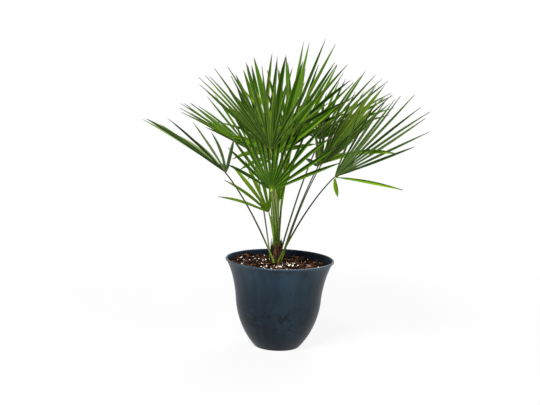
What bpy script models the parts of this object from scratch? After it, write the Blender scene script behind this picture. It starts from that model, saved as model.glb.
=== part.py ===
# A fan palm standing in a round plastic planter, at real size, in metres, +Z up.
# The origin is the centre of the planter's flat underside.
# The planter, the potting mix, the crown, and each leaf's stalk and blade are separate objects.
import math
import random

import bmesh
import bpy
from mathutils import Vector

# planter
POT_HEIGHT = 0.2515
RIM_RADIUS = 0.154
NECK_RADIUS = 0.1213
NECK_HEIGHT = 0.136
BASE_RADIUS = 0.0655
BASE_EDGE = 0.0015
WALL = 0.0035
FLOOR = 0.004
LIP_HEIGHT = 0.006
LIP_PROUD = 0.0026
LIP_WIDTH = 0.0060
LIP_ROUND = 0.0018
BASE_SLOPE = 0.90
NECK_SLOPE = 0.06
RIM_SLOPE = 0.70
BOWL_PULL = 0.30
FLARE_PULL = 0.23
POT_SIDES = 48
BOWL_STEPS = 8
FLARE_STEPS = 7

# potting mix and crown
FREEBOARD = 0.017
SOIL_SLOPE = 0.04
MOUND = 0.001
SOIL_LUMP = 0.0005
SOIL_RINGS = 6
WALL_STEP = 0.001
CROWN_CENTRE = Vector((-0.011, 0.016, 0.0))
CROWN_RADIUS = 0.0125
CROWN_SUNK = 0.006
CROWN_HEIGHT = 0.056
CROWN_RINGS = 7
CROWN_PULL = 0.03
CROWN_SIDES = 20

# leaves
BLADE_THICKNESS = 0.0012
TIP_SHARE = 0.35
HUB_ARC = 0.004
LIMP_ARC = 0.012
SPLIT = 0.16
WIDEST = 0.45
WIDTH_SHARE = 0.57
TAPER = 2.0
FREE_ROW = 0.74
JOINED_FOLD = 0.5
FREE_FOLD = 0.9
FINGER_SWAY = 0.16

# stalks
STALK_SIDES = 6
STALK_ROWS = 10
STALK_BOW = 0.09
STALK_HUB_SIZE = (0.0042, 0.0032)
STALK_TIP_SHARE = 0.3
TOP_STALK_SIZE = (0.0062, 0.0046)
TOP_RING_RADIUS = 0.0074
SIDE_STALK_SIZE = (0.0066, 0.0046)
SIDE_SEAT_RISE = 0.003

# gap kept between pieces that touch
GAP = 0.0003
UP = Vector((0.0, 0.0, 1.0))

# One entry for each leaf, front to back. hub is where the blade opens from its stalk, in millimetres.
# azimuth and elevation aim the middle of the blade, roll turns the blade about that aim, spread is the
# angle that the fingers cover and skew turns them all within the blade, in degrees. length is a middle
# finger in millimetres. short is how much less the side fingers reach, cup how far they lift out of the
# blade's plane, and sag how far they hang, as shares of their length. seat is where the stalk leaves
# the crown, and its direction from the crown's middle in degrees. limp lists fingers that hang apart
# from the fan: azimuth, elevation, length and width in millimetres, and sag. kept is the share of its
# room that a finger fills past the split, where that is not the usual WIDTH_SHARE.
LEAVES = [
    {"name": "front_high", "hub": (-37, -179, 574), "azimuth": 225, "elevation": 54, "roll": -4,
     "spread": 106, "skew": -5, "fingers": 15, "length": 295, "short": 0.31, "cup": 0.30, "sag": 0.13,
     "seat": ("top", 343), "kept": 0.52},
    {"name": "front_middle", "hub": (-30, -179, 467), "azimuth": 140, "elevation": 86, "roll": 93,
     "spread": 134, "skew": 0, "fingers": 16, "length": 284, "short": 0.22, "cup": -0.19, "sag": 0.18,
     "seat": ("top", 280)},
    {"name": "front_low", "hub": (-35, 61, 372), "azimuth": 201, "elevation": 63, "roll": -38,
     "spread": 76, "skew": 8, "fingers": 6, "length": 190, "short": 0.35, "cup": -0.13, "sag": 0.25,
     "seat": ("top", 232)},
    {"name": "left", "hub": (-160, 8, 488), "azimuth": 183, "elevation": 36, "roll": -9,
     "spread": 129, "skew": -11, "fingers": 10, "length": 300, "short": 0.27, "cup": 0.39, "sag": 0.21,
     "seat": ("side", 250), "kept": 0.38},
    {"name": "right_low", "hub": (135, -151, 506), "azimuth": 22, "elevation": 27, "roll": -127,
     "spread": 83, "skew": -31, "fingers": 11, "length": 318, "short": 0.26, "cup": 0.11, "sag": 0.01,
     "seat": ("side", 292), "kept": 0.50, "limp": ((350, -2, 192, 9, 0.10), (330, -75, 54, 13, 0.00))},
    {"name": "right_middle", "hub": (101, -114, 535), "azimuth": 31, "elevation": 39, "roll": 40,
     "spread": 148, "skew": 22, "fingers": 13, "length": 286, "short": 0.27, "cup": 0.17, "sag": 0.00,
     "seat": ("side", -11), "kept": 0.50, "limp": ((-5, 29, 238, 13, 0.64),)},
    {"name": "right_back", "hub": (107, 163, 579), "azimuth": 58, "elevation": 47, "roll": 15,
     "spread": 130, "skew": 3, "fingers": 17, "length": 296, "short": 0.25, "cup": 0.02, "sag": 0.25,
     "seat": ("side", 64)},
    {"name": "left_back", "hub": (-91, 190, 533), "azimuth": 155, "elevation": 34, "roll": 6,
     "spread": 104, "skew": -22, "fingers": 15, "length": 263, "short": 0.13, "cup": 0.39, "sag": 0.01,
     "seat": ("side", 161), "kept": 0.70},
    {"name": "right_inner", "hub": (101, 93, 506), "azimuth": 346, "elevation": 54, "roll": 5,
     "spread": 133, "skew": 10, "fingers": 16, "length": 294, "short": 0.05, "cup": -0.02, "sag": 0.02,
     "seat": ("side", 29)},
    {"name": "back_right", "hub": (8, 72, 595), "azimuth": 347, "elevation": 65, "roll": -42,
     "spread": 127, "skew": -9, "fingers": 13, "length": 298, "short": 0.17, "cup": 0.03, "sag": 0.09,
     "seat": ("top", 40)},
    {"name": "back_left", "hub": (-54, 258, 522), "azimuth": 153, "elevation": 84, "roll": 10,
     "spread": 154, "skew": 5, "fingers": 15, "length": 309, "short": 0.35, "cup": 0.31, "sag": 0.07,
     "seat": ("top", 175), "kept": 0.72},
    {"name": "back", "hub": (24, 114, 559), "azimuth": 89, "elevation": 57, "roll": 20,
     "spread": 135, "skew": 2, "fingers": 16, "length": 304, "short": 0.35, "cup": 0.37, "sag": 0.05,
     "seat": ("side", 111), "kept": 0.50},
    {"name": "centre", "hub": (-21, -29, 547), "azimuth": 152, "elevation": 78, "roll": 100,
     "spread": 162, "skew": -23, "fingers": 12, "length": 292, "short": 0.35, "cup": -0.31, "sag": 0.20,
     "seat": ("top", 86)},
    {"name": "young", "hub": (-9, -36, 415), "azimuth": 64, "elevation": 64, "roll": -80,
     "spread": 58, "skew": -23, "fingers": 6, "length": 250, "short": 0.26, "cup": -0.26, "sag": 0.03,
     "seat": ("middle", -68)},
]


def bezier(start, lean_out, lean_in, end, steps):
    """Points along a cubic Bezier curve, both ends included."""
    points = []
    for step in range(steps + 1):
        t = step / steps
        s = 1.0 - t
        points.append(start * s ** 3 + lean_out * (3 * s * s * t) + lean_in * (3 * s * t * t) + end * t ** 3)
    return points


def material_of(name, colour, roughness, metallic=0.0):
    material = bpy.data.materials.new(name)
    material.use_nodes = True
    shader = material.node_tree.nodes["Principled BSDF"]
    shader.inputs["Base Color"].default_value = (*colour, 1.0)
    shader.inputs["Roughness"].default_value = roughness
    shader.inputs["Metallic"].default_value = metallic
    material.diffuse_color = (*colour, 1.0)
    return material


def object_from(name, mesh_builder, material, sharp_angle=35.0):
    """Turns a bmesh into a smooth-shaded object."""
    mesh = bpy.data.meshes.new(name)
    mesh_builder.to_mesh(mesh)
    mesh_builder.free()
    mesh.shade_smooth()
    mesh.set_sharp_from_angle(angle=math.radians(sharp_angle))
    mesh.materials.append(material)
    item = bpy.data.objects.new(name, mesh)
    bpy.context.scene.collection.objects.link(item)
    return item


def face_outwards(builder):
    """Turns a closed shape's faces to point out of it."""
    bmesh.ops.recalc_face_normals(builder, faces=builder.faces)
    if builder.calc_volume(signed=True) < 0.0:
        bmesh.ops.reverse_faces(builder, faces=builder.faces)


def add_loft(builder, rings):
    """Skins a stack of equal rings and closes both ends with a flat face."""
    rows = [[builder.verts.new(point) for point in ring] for ring in rings]
    for lower, upper in zip(rows, rows[1:]):
        for i in range(len(lower)):
            j = (i + 1) % len(lower)
            builder.faces.new((lower[i], lower[j], upper[j], upper[i]))
    builder.faces.new(rows[0])
    builder.faces.new(rows[-1])
    face_outwards(builder)


def ring(centre, radius, height, sides):
    turn = 2 * math.pi / sides
    return [
        Vector((centre.x + radius * math.cos(i * turn), centre.y + radius * math.sin(i * turn), height))
        for i in range(sides)
    ]


def outer_profile():
    """The planter's outer side as (radius, height) points, from its foot to just below the lip."""
    bowl_pull = NECK_HEIGHT * BOWL_PULL
    flare_height = POT_HEIGHT - LIP_HEIGHT
    flare_pull = (flare_height - NECK_HEIGHT) * FLARE_PULL
    foot = Vector((BASE_RADIUS, BASE_EDGE))
    neck = Vector((NECK_RADIUS, NECK_HEIGHT))
    brim = Vector((RIM_RADIUS - LIP_PROUD, flare_height))
    bowl = bezier(
        foot,
        foot + Vector((BASE_SLOPE, 1.0)) * bowl_pull,
        neck - Vector((NECK_SLOPE, 1.0)) * bowl_pull,
        neck,
        BOWL_STEPS,
    )
    flare = bezier(
        neck,
        neck + Vector((NECK_SLOPE, 1.0)) * flare_pull,
        brim - Vector((RIM_SLOPE, 1.0)) * flare_pull,
        brim,
        FLARE_STEPS,
    )
    return bowl + flare[1:]


def inner_radius(height):
    """Radius of the planter's inner face at a height, a wall's thickness in from its outer side."""
    profile = outer_profile()
    for low, high in zip(profile, profile[1:]):
        if height <= high.y or high is profile[-1]:
            slope = (high.x - low.x) / (high.y - low.y)
            outer = low.x + slope * (height - low.y)
            return outer - WALL * math.sqrt(1.0 + slope * slope)


def soil_level():
    return POT_HEIGHT - FREEBOARD


def inner_heights():
    """Heights at which the inner face has a ring, from under the lip down to the planter's floor."""
    top = POT_HEIGHT - LIP_HEIGHT
    return [point.y for point in reversed(outer_profile()) if FLOOR < point.y <= top] + [FLOOR]


def wall_radius(height):
    """The inner face's radius at any height, straight between its rings."""
    levels = inner_heights()
    for high, low in zip(levels, levels[1:]):
        if height >= low:
            share = (height - low) / (high - low)
            return inner_radius(low) + (inner_radius(high) - inner_radius(low)) * share


def by_the_wall(heading, height):
    """A point that keeps the usual gap to the inner face."""
    reach = wall_radius(height) - GAP
    return Vector((reach * math.cos(heading), reach * math.sin(heading), height))


def make_pot(material):
    outer = outer_profile()
    under_lip = POT_HEIGHT - LIP_HEIGHT
    inner_lip = RIM_RADIUS - LIP_WIDTH
    lip = [
        Vector((RIM_RADIUS, under_lip + LIP_ROUND / 2)),
        Vector((RIM_RADIUS, POT_HEIGHT - LIP_ROUND)),
        Vector((RIM_RADIUS - LIP_ROUND * 0.3, POT_HEIGHT - LIP_ROUND * 0.3)),
        Vector((RIM_RADIUS - LIP_ROUND, POT_HEIGHT)),
        Vector((inner_lip + LIP_ROUND, POT_HEIGHT)),
        Vector((inner_lip, POT_HEIGHT - LIP_ROUND)),
    ]
    inside = [Vector((inner_radius(height), height)) for height in inner_heights()]
    profile = [Vector((0.0, 0.0)), Vector((BASE_RADIUS - BASE_EDGE, 0.0))]
    profile += outer + lip + inside + [Vector((0.0, FLOOR))]

    builder = bmesh.new()
    chain = [builder.verts.new((point.x, 0.0, point.y)) for point in profile]
    edges = [builder.edges.new(pair) for pair in zip(chain, chain[1:])]
    bmesh.ops.spin(
        builder,
        geom=chain + edges,
        cent=(0.0, 0.0, 0.0),
        axis=UP,
        angle=2 * math.pi,
        steps=POT_SIDES,
        use_merge=True,
    )
    bmesh.ops.remove_doubles(builder, verts=builder.verts, dist=0.00001)
    face_outwards(builder)
    return object_from("pot", builder, material, 50.0)


def soil_height(x, y):
    """A low mound around the crown with small lumps, lower towards one side of the planter."""
    reach = math.hypot(x, y) / inner_radius(soil_level())
    fade = max(0.0, 1.0 - reach * reach)
    lumps = 0.0
    for turn in range(5):
        heading = turn * 2.4
        waves = 110.0 + 37.0 * turn
        lumps += math.sin(waves * (x * math.cos(heading) + y * math.sin(heading)) + turn)
    return soil_level() - SOIL_SLOPE * x + MOUND * fade + SOIL_LUMP * lumps * math.sqrt(fade)


def dent_floor():
    return soil_height(CROWN_CENTRE.x, CROWN_CENTRE.y) - CROWN_SUNK


def soil_edge():
    """Where the sloping top of the mix meets the planter's wall, all the way round."""
    spots = []
    for i in range(POT_SIDES):
        heading = 2 * math.pi * i / POT_SIDES
        spot = by_the_wall(heading, soil_level())
        for _ in range(5):
            spot = by_the_wall(heading, soil_level() - SOIL_SLOPE * spot.x)
        spots.append(spot)
    return spots


def make_soil(material):
    dent = ring(CROWN_CENTRE, CROWN_RADIUS + GAP, dent_floor(), POT_SIDES)
    edge = soil_edge()
    rings = [dent]
    for step in range(SOIL_RINGS):
        row = [near.lerp(far, step / SOIL_RINGS) for near, far in zip(dent, edge)]
        for point in row:
            point.z = soil_height(point.x, point.y)
        rings.append(row)
    rings.append(edge)
    highest = max(point.z for point in edge)
    for level in inner_heights()[:-1]:
        if level < highest:
            # each ring down the wall stays a little under the one before it
            heights = [min(level, point.z - WALL_STEP) for point in rings[-1]]
            turn = 2 * math.pi / POT_SIDES
            rings.append([by_the_wall(i * turn, height) for i, height in enumerate(heights)])
    bottom = FLOOR + GAP
    rings.append(ring(Vector((0.0, 0.0)), inner_radius(bottom) - GAP, bottom, POT_SIDES))
    builder = bmesh.new()
    add_loft(builder, rings)
    return object_from("soil", builder, material)


def crown_top():
    return dent_floor() + GAP + CROWN_SUNK + SOIL_LUMP + CROWN_HEIGHT


def make_crown(material):
    """The short stem of packed leaf bases, set a little into the mix."""
    chance = random.Random(3)
    base = dent_floor() + GAP
    shoulder = crown_top() - CROWN_HEIGHT
    rings = [ring(CROWN_CENTRE, CROWN_RADIUS, base, CROWN_SIDES)]
    rings.append(ring(CROWN_CENTRE, CROWN_RADIUS, shoulder, CROWN_SIDES))
    for step in range(1, CROWN_RINGS + 1):
        row = ring(CROWN_CENTRE, CROWN_RADIUS, shoulder + CROWN_HEIGHT * step / CROWN_RINGS, CROWN_SIDES)
        if step < CROWN_RINGS:
            for point in row:
                point.xy = point.xy.lerp(CROWN_CENTRE.xy, chance.uniform(0.0, CROWN_PULL))
        rings.append(row)
    builder = bmesh.new()
    add_loft(builder, rings)
    return object_from("crown", builder, material)


def hub_of(leaf):
    return Vector(leaf["hub"]) / 1000.0


def heading(azimuth, elevation):
    """The direction two angles in degrees aim at, and the level direction to its right."""
    azimuth, elevation = math.radians(azimuth), math.radians(elevation)
    level = math.cos(elevation)
    aim = Vector((level * math.cos(azimuth), level * math.sin(azimuth), math.sin(elevation)))
    return aim, Vector((math.sin(azimuth), -math.cos(azimuth), 0.0))


def blade_axes(leaf):
    """The middle finger's direction, the direction across the blade, and the blade's normal."""
    middle, side = heading(leaf["azimuth"], leaf["elevation"])
    roll = math.radians(leaf["roll"])
    normal = side.cross(middle)
    across = side * math.cos(roll) + normal * math.sin(roll)
    return middle, across, normal * math.cos(roll) - side * math.sin(roll)


class Finger:
    """One pleat of a blade: joined to its neighbours near the hub, free and tapering beyond."""

    def __init__(self, hub, along, facing, length, room, kept, sag, limp):
        self.hub = hub
        self.along = along.normalized()
        self.width_way = self.along.cross(facing).normalized()
        self.length = length
        self.room = room
        self.widest = room * WIDEST * kept
        self.sag = sag * length * (1.0 - abs(self.along.z))
        self.limp = limp

    def centre(self, share):
        return self.hub + self.along * (self.length * share) - UP * (self.sag * share * share)

    def normal(self, share):
        tangent = self.along * self.length - UP * (2.0 * self.sag * share)
        return self.width_way.cross(tangent).normalized()

    def half_width(self, share):
        """Half the room between neighbours up to the split, then less than that, then a long point."""
        if share <= SPLIT:
            return self.room * share
        if share <= WIDEST:
            start = self.room * SPLIT
            return start + (self.widest - start) * (share - SPLIT) / (WIDEST - SPLIT)
        return self.widest * (1.0 - ((share - WIDEST) / (1.0 - WIDEST)) ** TAPER)

    def edge(self, share, sign):
        """A point on the finger's left (-1), middle (0) or right (+1) fold."""
        half = self.half_width(share)
        fold = JOINED_FOLD if share <= SPLIT else FREE_FOLD
        rise = fold * half * (0.5 if sign else -0.5)
        return self.centre(share) + self.width_way * (half * sign) + self.normal(share) * rise


def fingers_of(leaf):
    """The fan's fingers in order across the blade, and after them its limp ones."""
    hub = hub_of(leaf)
    middle, across, normal = blade_axes(leaf)
    count = leaf["fingers"]
    kept = leaf.get("kept", WIDTH_SHARE)
    step = math.radians(leaf["spread"]) / (count - 1)
    chance = random.Random(leaf["name"])
    fingers = []
    for i in range(count):
        sway = step * chance.uniform(-FINGER_SWAY, FINGER_SWAY)
        angle = math.radians(leaf["skew"]) + step * (i - (count - 1) / 2) + sway
        length = leaf["length"] / 1000.0 * (1.0 - leaf["short"] * (angle / (math.pi / 2)) ** 2)
        lift = leaf["cup"] * math.sin(angle) ** 2
        along = middle * math.cos(angle) + across * math.sin(angle) + normal * lift
        room = length * math.tan(step / 2)
        fingers.append(Finger(hub, along, normal, length, room, kept, leaf["sag"], False))
    for azimuth, elevation, length, width, sag in leaf.get("limp", ()):
        along, side = heading(azimuth, elevation)
        room = width / 2000.0 / (WIDEST * WIDTH_SHARE)
        fingers.append(Finger(hub, along, side, length / 1000.0, room, WIDTH_SHARE, sag, True))
    return fingers


def rows_of(finger):
    """Shares of a finger's length at which the sheet has a row; a limp one is split off sooner."""
    near = [HUB_ARC / finger.length, LIMP_ARC / finger.length]
    return near + ([] if finger.limp else [SPLIT]) + [WIDEST, FREE_ROW]


def add_blade_sheet(builder, fingers):
    """The pleated sheet between two skins, closed all round its edge."""
    skins = {}

    def point(key, place, normal, thickness):
        if key not in skins:
            offset = normal * (thickness / 2)
            skins[key] = (builder.verts.new(place + offset), builder.verts.new(place - offset))
        return key

    def edge_key(i, row, share, sign):
        finger = fingers[i]
        thickness = BLADE_THICKNESS * (1.0 - (1.0 - TIP_SHARE) * share)
        neighbour = i + sign
        if sign and 0 <= neighbour < len(fingers):
            other = fingers[neighbour]
            if row < (2 if finger.limp or other.limp else 3):
                other_share = rows_of(other)[row]
                place = (finger.edge(share, sign) + other.edge(other_share, -sign)) / 2
                normal = (finger.normal(share) + other.normal(other_share)).normalized()
                return point((min(i, neighbour), row, "shared"), place, normal, thickness)
        return point((i, row, sign), finger.edge(share, sign), finger.normal(share), thickness)

    faces = []
    for i, finger in enumerate(fingers):
        rows = []
        for row, share in enumerate(rows_of(finger)):
            rows.append([edge_key(i, row, share, sign) for sign in (-1, 0, 1)])
        for low, high in zip(rows, rows[1:]):  # both skins are cut along the same diagonals
            faces.append((low[1], high[0], low[0]))
            faces.append((low[1], high[1], high[0]))
            faces.append((low[1], high[2], high[1]))
            faces.append((low[1], low[2], high[2]))
        tip = point((i, "tip"), finger.centre(1.0), finger.normal(1.0), BLADE_THICKNESS * TIP_SHARE)
        faces.append((rows[-1][0], rows[-1][1], tip))
        faces.append((rows[-1][1], rows[-1][2], tip))

    directed = set()
    for face in faces:
        builder.faces.new([skins[key][0] for key in face])
        builder.faces.new([skins[key][1] for key in reversed(face)])
        directed.update(zip(face, face[1:] + face[:1]))
    for start, end in sorted(directed, key=str):
        if (end, start) not in directed:
            builder.faces.new((skins[end][0], skins[start][0], skins[start][1], skins[end][1]))


def make_blade(leaf, material):
    builder = bmesh.new()
    add_blade_sheet(builder, fingers_of(leaf))
    return object_from("blade_" + leaf["name"], builder, material)


def stalk_seat(leaf):
    """Where a stalk leaves the crown, and its width and thickness there."""
    place, heading = leaf["seat"]
    outward = Vector((math.cos(math.radians(heading)), math.sin(math.radians(heading)), 0.0))
    if place == "side":
        size = SIDE_STALK_SIZE
        seat = CROWN_CENTRE + outward * (CROWN_RADIUS + GAP + size[1] / 2)
        seat.z = soil_height(seat.x, seat.y) + SIDE_SEAT_RISE
    else:
        size = TOP_STALK_SIZE
        seat = CROWN_CENTRE + outward * (TOP_RING_RADIUS if place == "top" else 0.0)
        seat.z = crown_top() + GAP
    return seat, outward, size


def stalk_route(leaf, steps):
    """A stalk's centre line, bowed a little upwards between the crown and the hub."""
    seat = stalk_seat(leaf)[0]
    hub = hub_of(leaf)
    span = hub - seat
    bow = UP * (span.length * STALK_BOW)
    return bezier(seat, seat + span / 3 + bow, seat + span * (2 / 3) + bow, hub, steps)


def make_stalk(leaf, material):
    seat, outward, base_size = stalk_seat(leaf)
    hub = hub_of(leaf)
    route = stalk_route(leaf, STALK_ROWS - 1)
    middle = blade_axes(leaf)[0]
    route.append(hub + middle * (HUB_ARC - 2 * GAP))
    wide_way = outward.cross(UP)
    rings = []
    for row, centre in enumerate(route):
        share = min(1.0, row / (STALK_ROWS - 1))
        width, thickness = (a + (b - a) * share for a, b in zip(base_size, STALK_HUB_SIZE))
        if row == 0:
            tangent = UP
        elif row < STALK_ROWS:
            tangent = (route[row + 1] - route[row - 1]).normalized()
        else:
            tangent = middle
            width *= STALK_TIP_SHARE
            thickness *= STALK_TIP_SHARE
        across = (wide_way - tangent * wide_way.dot(tangent)).normalized()
        face = tangent.cross(across)
        turn = 2 * math.pi / STALK_SIDES
        rings.append([
            centre + across * (width / 2 * math.cos(i * turn)) + face * (thickness / 2 * math.sin(i * turn))
            for i in range(STALK_SIDES)
        ])
    builder = bmesh.new()
    add_loft(builder, rings)
    return object_from("stalk_" + leaf["name"], builder, material)


def main():
    for item in list(bpy.data.objects):
        bpy.data.objects.remove(item)
    make_pot(material_of("pot_plastic", (0.045, 0.085, 0.125), 0.35))
    make_soil(material_of("potting_mix", (0.045, 0.025, 0.018), 0.95))
    make_crown(material_of("crown_fibre", (0.11, 0.055, 0.035), 0.9))
    stalk_green = material_of("stalk_green", (0.14, 0.22, 0.05), 0.5)
    leaf_green = material_of("leaf_green", (0.10, 0.20, 0.03), 0.45)
    for leaf in LEAVES:
        make_stalk(leaf, stalk_green)
        make_blade(leaf, leaf_green)


main()
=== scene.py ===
import math
import random

import bmesh
import bpy
from mathutils import Matrix, Vector, noise


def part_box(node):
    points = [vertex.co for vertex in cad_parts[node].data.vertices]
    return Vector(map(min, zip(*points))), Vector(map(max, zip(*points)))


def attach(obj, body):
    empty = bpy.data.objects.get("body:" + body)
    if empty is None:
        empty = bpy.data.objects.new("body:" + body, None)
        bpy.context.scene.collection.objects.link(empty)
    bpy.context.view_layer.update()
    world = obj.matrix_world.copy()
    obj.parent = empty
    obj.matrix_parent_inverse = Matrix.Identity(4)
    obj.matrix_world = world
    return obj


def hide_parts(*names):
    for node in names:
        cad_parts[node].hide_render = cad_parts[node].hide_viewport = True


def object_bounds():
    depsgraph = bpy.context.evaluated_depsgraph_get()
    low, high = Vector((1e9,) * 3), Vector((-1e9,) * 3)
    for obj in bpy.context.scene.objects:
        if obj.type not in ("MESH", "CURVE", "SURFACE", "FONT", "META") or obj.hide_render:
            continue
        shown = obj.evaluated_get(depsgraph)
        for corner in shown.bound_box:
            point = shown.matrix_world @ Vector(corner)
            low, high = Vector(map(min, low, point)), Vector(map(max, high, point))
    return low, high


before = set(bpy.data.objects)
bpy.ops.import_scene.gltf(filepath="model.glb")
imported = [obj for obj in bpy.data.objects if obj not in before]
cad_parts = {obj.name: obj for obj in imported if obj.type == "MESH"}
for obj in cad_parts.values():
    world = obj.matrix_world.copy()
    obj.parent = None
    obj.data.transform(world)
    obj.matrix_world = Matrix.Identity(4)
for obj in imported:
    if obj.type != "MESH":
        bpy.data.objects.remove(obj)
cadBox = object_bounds()
up = Vector((0, 0, 1))
print("frame loaded:", len(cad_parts), "solids")


def smoothStep(low, high, value):
    t = min(1.0, max(0.0, (value - low) / (high - low)))
    return t * t * (3 - 2 * t)


def bezier(start, leanOut, leanIn, end, steps):
    points = []
    for i in range(steps + 1):
        t = i / steps
        s = 1 - t
        points.append(start * s ** 3 + leanOut * (3 * s * s * t) + leanIn * (3 * s * t * t) + end * t ** 3)
    return points


class Signal:  # a wrapped socket, on which sums add Math nodes
    def __init__(self, recipe, socket):
        self.recipe = recipe
        self.socket = socket

    def maths(self, operation, first, second=0.0):
        return self.recipe.add("ShaderNodeMath", {"operation": operation}, {0: first, 1: second})

    def __add__(self, other):
        return self.maths("ADD", self, other)

    def __sub__(self, other):
        return self.maths("SUBTRACT", self, other)

    def __mul__(self, other):
        return self.maths("MULTIPLY", self, other)

    def __rsub__(self, other):
        return self.maths("SUBTRACT", other, self)

    __radd__ = __add__
    __rmul__ = __mul__

    def sine(self):
        return self.maths("SINE", self)

    def size(self):
        return self.maths("ABSOLUTE", self)

    def most(self, other):
        return self.maths("MAXIMUM", self, other)

    def between(self, low, high):
        # 0 below low, 1 above high, and a smooth rise in between
        sockets = {"Value": self, "From Min": low, "From Max": high}
        return self.recipe.add("ShaderNodeMapRange", {"interpolation_type": "SMOOTHSTEP"}, sockets)


class Recipe:  # one material, whose nodes all come from add
    def __init__(self, name, holder=None):
        self.material = holder or bpy.data.materials.new(name)
        self.material.use_nodes = True
        self.tree = self.material.node_tree
        self.shader = self.tree.nodes.get("Principled BSDF")

    def add(self, kind, settings=None, sockets=None, out=0):
        node = self.tree.nodes.new(kind)
        for setting, value in (settings or {}).items():
            if setting == "stops":
                self.setStops(node.color_ramp, value)
            else:
                setattr(node, setting, value)
        for socket, value in (sockets or {}).items():
            self.plug(node.inputs[socket], value)
        return Signal(self, node.outputs[out])

    def setStops(self, ramp, stops):
        while len(ramp.elements) < len(stops):
            ramp.elements.new(0.5)
        for element, (place, colour) in zip(ramp.elements, stops):
            element.position = place
            element.color = (*colour, 1)

    def plug(self, socket, value):
        if isinstance(value, Signal):
            self.tree.links.new(value.socket, socket)
        elif socket.type == "RGBA":
            socket.default_value = (*value, 1)
        else:
            socket.default_value = value

    def place(self):
        return self.add("ShaderNodeTexCoord", out="Object")

    def stretched(self, vector, factors):
        return self.add("ShaderNodeVectorMath", {"operation": "MULTIPLY"}, {0: vector, 1: factors})

    def noise(self, vector, scale, detail=2.0, roughness=0.5):
        sockets = {"Vector": vector, "Scale": scale, "Detail": detail, "Roughness": roughness}
        return self.add("ShaderNodeTexNoise", None, sockets)

    def colours(self, value, stops):
        return self.add("ShaderNodeValToRGB", {"stops": stops}, {"Fac": value})

    def mixed(self, factor, first, second):
        # sockets 6 and 7 are the two colours, output 2 the mixed one
        return self.add("ShaderNodeMix", {"data_type": "RGBA"}, {0: factor, 6: first, 7: second}, 2)

    def parts(self, vector):
        node = self.add("ShaderNodeSeparateXYZ", None, {0: vector}).socket.node
        return [Signal(self, output) for output in node.outputs]

    def tag(self, name):
        return self.add("ShaderNodeAttribute", {"attribute_name": name}, out="Fac")

    def bump(self, height, strength, distance):
        sockets = {"Height": height, "Strength": strength, "Distance": distance}
        return self.add("ShaderNodeBump", None, sockets)

    def finish(self, sockets):
        for socket, value in sockets.items():
            self.plug(self.shader.inputs[socket], value)
        return self.material


def addPiece(name, builder, materials, sharp, replaced=()):
    # edges with a turn above the angle sharp aren't smoothed
    mesh = bpy.data.meshes.new(name)
    builder.to_mesh(mesh)
    builder.free()
    mesh.shade_smooth()
    mesh.set_sharp_from_angle(angle=math.radians(sharp))
    for material in materials:
        mesh.materials.append(material)
    piece = bpy.data.objects.new(name, mesh)
    bpy.context.scene.collection.objects.link(piece)
    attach(piece, "root")
    if replaced:
        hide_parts(*replaced)


def skinRings(builder, rings):
    # joins a stack of equal rings and caps both ends, with the caps last
    rows = [[builder.verts.new(point) for point in ring] for ring in rings]
    faces = []
    for low, high in zip(rows, rows[1:]):
        for i in range(len(low)):
            j = (i + 1) % len(low)
            faces.append(builder.faces.new((low[i], low[j], high[j], high[i])))
    faces.append(builder.faces.new(rows[0][::-1]))
    faces.append(builder.faces.new(rows[-1]))
    return faces


def turnOutwards(builder):
    bmesh.ops.recalc_face_normals(builder, faces=builder.faces)
    if builder.calc_volume(signed=True) < 0:
        bmesh.ops.reverse_faces(builder, faces=builder.faces)


def circle(radius, height, sides):
    turn = 2 * math.pi / sides
    spots = [(math.cos(i * turn), math.sin(i * turn)) for i in range(sides)]
    return [Vector((radius * c, radius * s, height)) for c, s in spots]


potLook = {
    "neckRadius": 0.1213, "neckHeight": 0.136, "baseRadius": 0.0655, "baseEdge": 0.0015,
    "wall": 0.0035, "floor": 0.004, "lipHeight": 0.006, "lipProud": 0.0026,
    "lipStart": -70, "lipSweep": 230, "lipSteps": 12, "lipInside": 3, "lipRoom": 0.002,
    "baseSlope": 0.90, "neckSlope": 0.06, "rimSlope": 0.70, "bowlPull": 0.30, "flarePull": 0.23,
    "steps": 26, "sides": 144,
    # light is the pale colour of the painted highlight on the lip and of the painted sheen below the rim
    "colour": (0.0100, 0.0220, 0.0340), "light": (0.022, 0.052, 0.080), "dark": (0.0030, 0.0070, 0.0130),
    # inside is the glaze colour darkened into painted shade for the inner wall
    "inside": (0.0022, 0.0050, 0.0110), "mark": (0.0010, 0.0025, 0.0055), "roughness": 0.42,
    "streakScale": 2.6, "fineScale": 13.0, "smudgeScale": 22.0, "foldScale": 13.0, "scratchScale": 34.0,
    "paintedRimSheen": 0.55, "foldMarks": 0.8, "scratches": 0.45, "paintedFootShade": 0.45, "paintedLipHighlight": 0.2,
}
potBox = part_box("pot")
rimRadius = potBox[1].x
potTop = potBox[1].z


def potOutside():
    look = potLook
    bowlPull = look["neckHeight"] * look["bowlPull"]
    underLip = potTop - look["lipHeight"]
    flarePull = (underLip - look["neckHeight"]) * look["flarePull"]
    foot = Vector((look["baseRadius"], look["baseEdge"]))
    neck = Vector((look["neckRadius"], look["neckHeight"]))
    brim = Vector((rimRadius - look["lipProud"], underLip))
    neckWay = Vector((look["neckSlope"], 1))
    bowl = bezier(foot, foot + Vector((look["baseSlope"], 1)) * bowlPull, neck - neckWay * bowlPull,
                  neck, look["steps"])
    flare = bezier(neck, neck + neckWay * flarePull, brim - Vector((look["rimSlope"], 1)) * flarePull,
                   brim, look["steps"])
    return bowl + flare[1:]


def potInside(height):
    outline = potOutside()
    for low, high in zip(outline, outline[1:]):
        if height <= high.y or high is outline[-1]:
            slope = (high.x - low.x) / (high.y - low.y)
            return low.x + slope * (height - low.y) - potLook["wall"] * math.sqrt(1 + slope * slope)


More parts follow.
